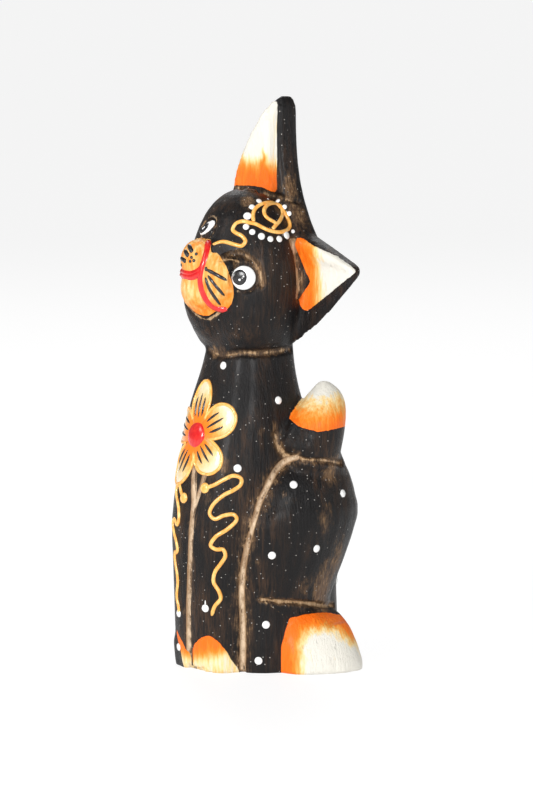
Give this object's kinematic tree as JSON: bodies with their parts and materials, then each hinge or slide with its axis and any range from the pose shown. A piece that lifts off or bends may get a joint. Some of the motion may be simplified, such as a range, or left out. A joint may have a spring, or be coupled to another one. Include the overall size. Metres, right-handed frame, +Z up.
{
  "type": "painted wooden cat figurine",
  "caption": "Upright sitting cat carved from one block of light wood, head tipped over its left shoulder, one ear up and the other out, tail tip on its flank, flat base.",
  "frame": {"origin": "middle of the underside, on the surface the cat stands on", "axes": "+Z up through the head, the chest and face look along -Y, the cat's left side is +X"},
  "size_m": [0.0913, 0.0734, 0.22],
  "materials": {
    "painted_wood": "near-black paint over carved wood, rubbed through to brown at edges, varnished semi-gloss"
  },
  "bodies": {
    "root": {"cat_figurine": "painted_wood"}
  },
  "joints": []
}
